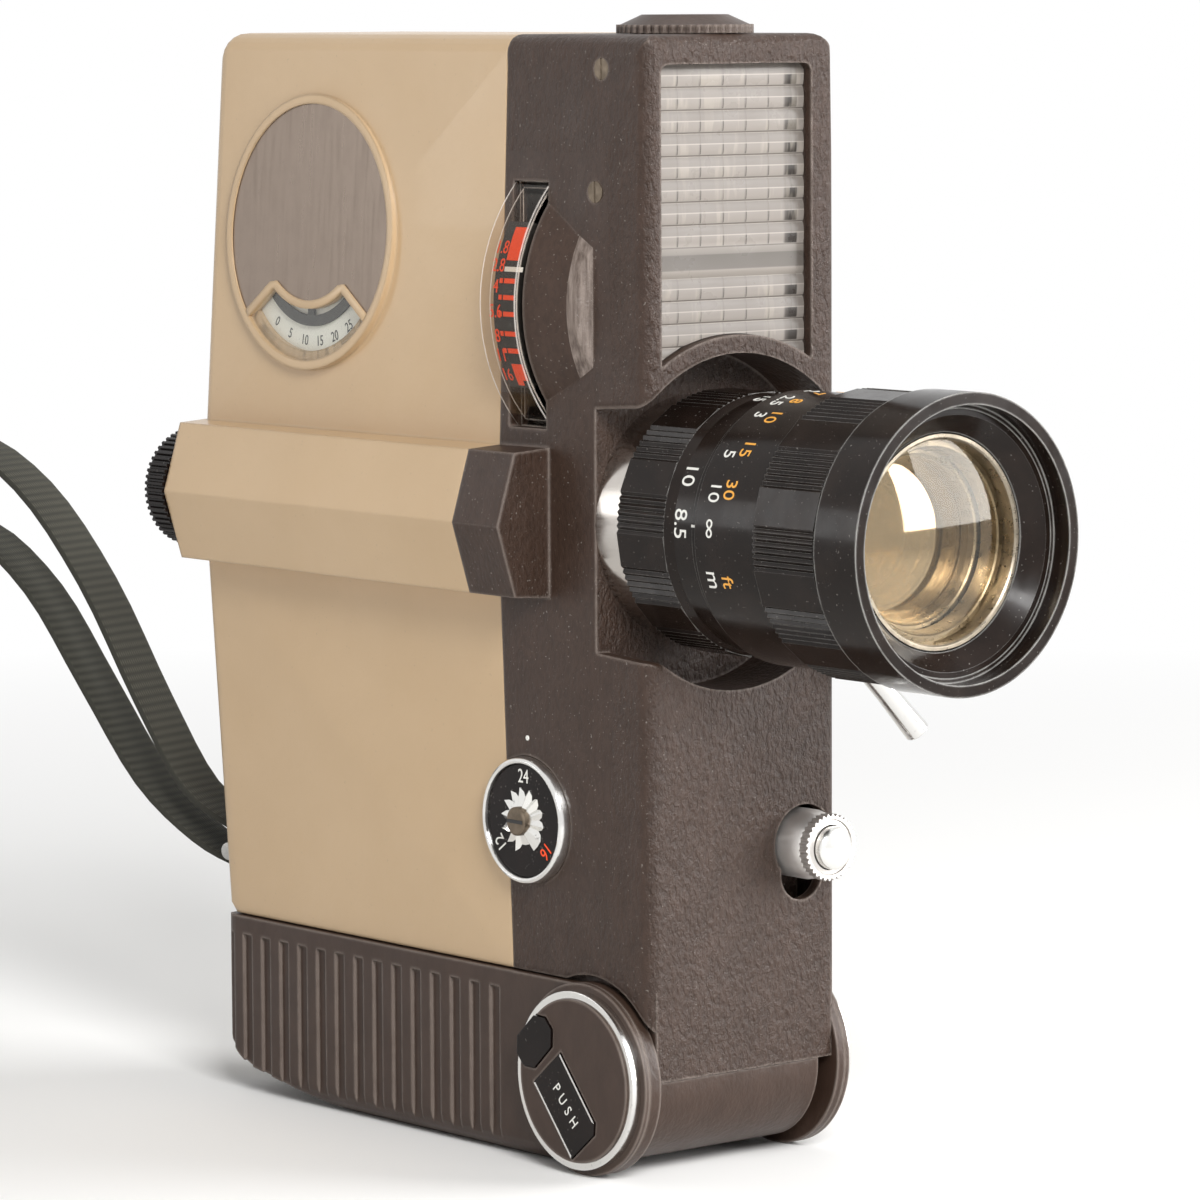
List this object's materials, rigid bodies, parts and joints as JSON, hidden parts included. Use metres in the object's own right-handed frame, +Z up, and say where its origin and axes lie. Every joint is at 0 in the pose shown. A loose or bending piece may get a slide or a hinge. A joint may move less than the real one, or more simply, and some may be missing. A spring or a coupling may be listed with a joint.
{
  "type": "cine camera",
  "caption": "Spring-driven cine camera with a two-tone body, side finder tunnel, clear exposure arc, zoom lens, film door and folding grip handle.",
  "frame": {"origin": "on the table plane under the lens axis, at the middle of the resting surface", "axes": "-Y is the way the lens looks, +X the film door side, +Z up"},
  "size_m": [0.0907, 0.3017, 0.1823],
  "materials": {
    "wrinkle_black": "black-brown wrinkle paint",
    "beige_paint": "beige enamel with fine orange peel",
    "plate_alloy": "pressed, matt",
    "black_inside": "matt black",
    "cap_black": "satin black-brown",
    "chrome": "worn bright plating",
    "black_gloss": "gloss",
    "steel": "satin",
    "brass": "turned",
    "clear_plastic": "clear moulded plastic",
    "cell_grey": "dark cell behind the ribs",
    "scale_orange": "printed drum",
    "plate_satin": "brushed and lacquered",
    "dial_white": "printed dial",
    "glass": "polished",
    "coated_glass": "amber coated",
    "mirror": "silvered",
    "alloy_satin": "satin, worn",
    "black_anodised": "gloss black",
    "spool_black": "moulded",
    "old_screw": "dark, worn",
    "strap_web": "dark olive woven webbing"
  },
  "bodies": {
    "camera": {"front_casting": "wrinkle_black", "mechanism_cover": "beige_paint", "main_plate": "plate_alloy", "base_frame": "wrinkle_black", "meter_window": "clear_plastic", "meter_cell": "cell_grey", "meter_movement": "black_inside", "scale_window": "clear_plastic", "nameplate": "plate_satin", "counter_dial": "dial_white", "counter_window": "clear_plastic", "finder_tube": "black_inside", "beam_prism": "glass", "finder_mirror": "mirror", "eyepiece_lens": "glass", "lens_mount": "alloy_satin", "lens_barrel": "black_anodised", "index_ring": "black_anodised", "rear_lens": "glass", "iris": "steel", "release_sleeve": "alloy_satin", "speed_bezel": "chrome", "film_gate": "steel", "door_pins": "steel", "case_screws": "old_screw", "strap_lug": "steel", "strap": "strap_web"},
    "film_door": {"film_door": "beige_paint"},
    "door_latch": {"door_latch": "chrome"},
    "handle": {"handle_shell": "wrinkle_black", "handle_liner": "black_inside", "left_cap": "cap_black", "right_cap": "cap_black", "cap_rings": "chrome", "handle_axle": "steel", "tripod_bush": "brass"},
    "push_button": {"push_button": "black_gloss"},
    "lock_button": {"lock_button": "black_gloss"},
    "exposure_scale": {"exposure_scale": "scale_orange"},
    "counter_pointer": {"counter_pointer": "black_inside"},
    "eyepiece_ring": {"eyepiece_ring": "black_gloss"},
    "zoom": {"zoom_ring": "black_anodised", "zoom_lever": "chrome"},
    "zoom_group": {"zoom_group": "black_anodised"},
    "helicoid": {"focus_helicoid": "brass"},
    "focus": {"focus_ring": "black_anodised", "front_rim": "black_anodised", "name_ring": "black_anodised", "front_lens": "coated_glass"},
    "release_collar": {"release_collar": "alloy_satin"},
    "release_button": {"release_button": "alloy_satin"},
    "speed_dial": {"speed_dial": "black_gloss", "speed_knob": "chrome"},
    "film_speed_wheel": {"film_speed_wheel": "wrinkle_black"},
    "pressure_plate": {"pressure_plate": "steel"},
    "supply_spool": {"supply_spool": "spool_black"},
    "takeup_spool": {"takeup_spool": "spool_black"},
    "spring_barrel": {"spring_barrel": "brass"},
    "drive_gear": {"drive_gear": "brass"},
    "shutter_disc": {"shutter_disc": "black_inside"}
  },
  "joints": [
    {"name": "door_swing", "type": "hinge", "parent": "camera", "child": "film_door", "pos_m": [0.0219, -0.0214, 0.08], "axis": [0, 0, -1], "range_deg": [0, 105]},
    {"name": "latch_turn", "type": "hinge", "parent": "film_door", "child": "door_latch", "pos_m": [0.021, 0.0454, 0.10325], "axis": [1, 0, 0], "range_deg": [0, 90]},
    {"name": "handle_fold", "type": "hinge", "parent": "camera", "child": "handle", "pos_m": [0, -0.041, 0.0153], "axis": [-1, 0, 0], "range_deg": [0, 92]},
    {"name": "push_press", "type": "slide", "parent": "handle", "child": "push_button", "axis": [1, 0, 0], "range_m": [0, 0.001], "stiffness_N_per_m": 400},
    {"name": "lock_press", "type": "slide", "parent": "handle", "child": "lock_button", "axis": [1, 0, 0], "range_m": [0, 0.001], "stiffness_N_per_m": 400},
    {"name": "scale_turn", "type": "hinge", "parent": "camera", "child": "exposure_scale", "pos_m": [0.00175, -0.028, 0.137], "axis": [0, 1, 0], "range_deg": [-12, 12]},
    {"name": "counter_turn", "type": "hinge", "parent": "camera", "child": "counter_pointer", "pos_m": [-0.02056, 0.0278, 0.14677], "axis": [0.9978, 0, -0.067], "range_deg": [-20, 20]},
    {"name": "eyepiece_turn", "type": "hinge", "parent": "camera", "child": "eyepiece_ring", "pos_m": [-0.02085, 0.0592, 0.10285], "axis": [0, 1, 0], "range_deg": [-90, 90]},
    {"name": "zoom_turn", "type": "hinge", "parent": "camera", "child": "zoom", "pos_m": [0, -0.0586, 0.10325], "axis": [0, -1, 0], "range_deg": [0, 90]},
    {"name": "zoom_slide", "type": "slide", "parent": "camera", "child": "zoom_group", "axis": [0, -1, 0], "range_m": [0, 0.008]},
    {"name": "focus_slide", "type": "slide", "parent": "camera", "child": "helicoid", "axis": [0, -1, 0], "range_m": [0, 0.003]},
    {"name": "focus_turn", "type": "hinge", "parent": "helicoid", "child": "focus", "pos_m": [0, -0.0836, 0.10325], "axis": [0, -1, 0], "range_deg": [0, 200]},
    {"name": "collar_turn", "type": "hinge", "parent": "camera", "child": "release_collar", "pos_m": [0.0138, -0.0605, 0.0511], "axis": [0, 1, 0], "range_deg": [0, 90]},
    {"name": "release_press", "type": "slide", "parent": "camera", "child": "release_button", "axis": [0, 1, 0], "range_m": [0, 0.002], "stiffness_N_per_m": 300},
    {"name": "speed_turn", "type": "hinge", "parent": "camera", "child": "speed_dial", "pos_m": [-0.0191, -0.02665, 0.055], "axis": [1, 0, 0], "range_deg": [-120, 120]},
    {"name": "film_speed_turn", "type": "hinge", "parent": "camera", "child": "film_speed_wheel", "pos_m": [0, -0.0425, 0.18], "axis": [0, 0, 1], "range_deg": [-150, 150]},
    {"name": "pressure_slide", "type": "slide", "parent": "camera", "child": "pressure_plate", "axis": [0, 1, 0], "range_m": [0, 0.002], "stiffness_N_per_m": 200},
    {"name": "supply_turn", "type": "hinge", "parent": "camera", "child": "supply_spool", "pos_m": [0.006, 0.025, 0.151], "axis": [1, 0, 0], "continuous": true},
    {"name": "takeup_turn", "type": "hinge", "parent": "camera", "child": "takeup_spool", "pos_m": [0.006, 0.025, 0.0585], "axis": [1, 0, 0], "continuous": true},
    {"name": "barrel_turn", "type": "hinge", "parent": "camera", "child": "spring_barrel", "pos_m": [-0.011, 0.022, 0.0565], "axis": [1, 0, 0], "continuous": true},
    {"name": "pinion_turn", "type": "hinge", "parent": "camera", "child": "drive_gear", "pos_m": [-0.011, -0.0055, 0.0565], "axis": [1, 0, 0], "continuous": true},
    {"name": "shutter_turn", "type": "hinge", "parent": "camera", "child": "shutter_disc", "pos_m": [0.0005, -0.0227, 0.09045], "axis": [0, 1, 0], "continuous": true}
  ],
  "couplings": [
    {"joint": "zoom_slide", "follows": "zoom_turn", "m_per_rad": 0.005093},
    {"joint": "focus_slide", "follows": "focus_turn", "m_per_rad": 0.000859},
    {"joint": "pinion_turn", "follows": "barrel_turn", "ratio": -4},
    {"joint": "shutter_turn", "follows": "barrel_turn", "ratio": 12}
  ]
}
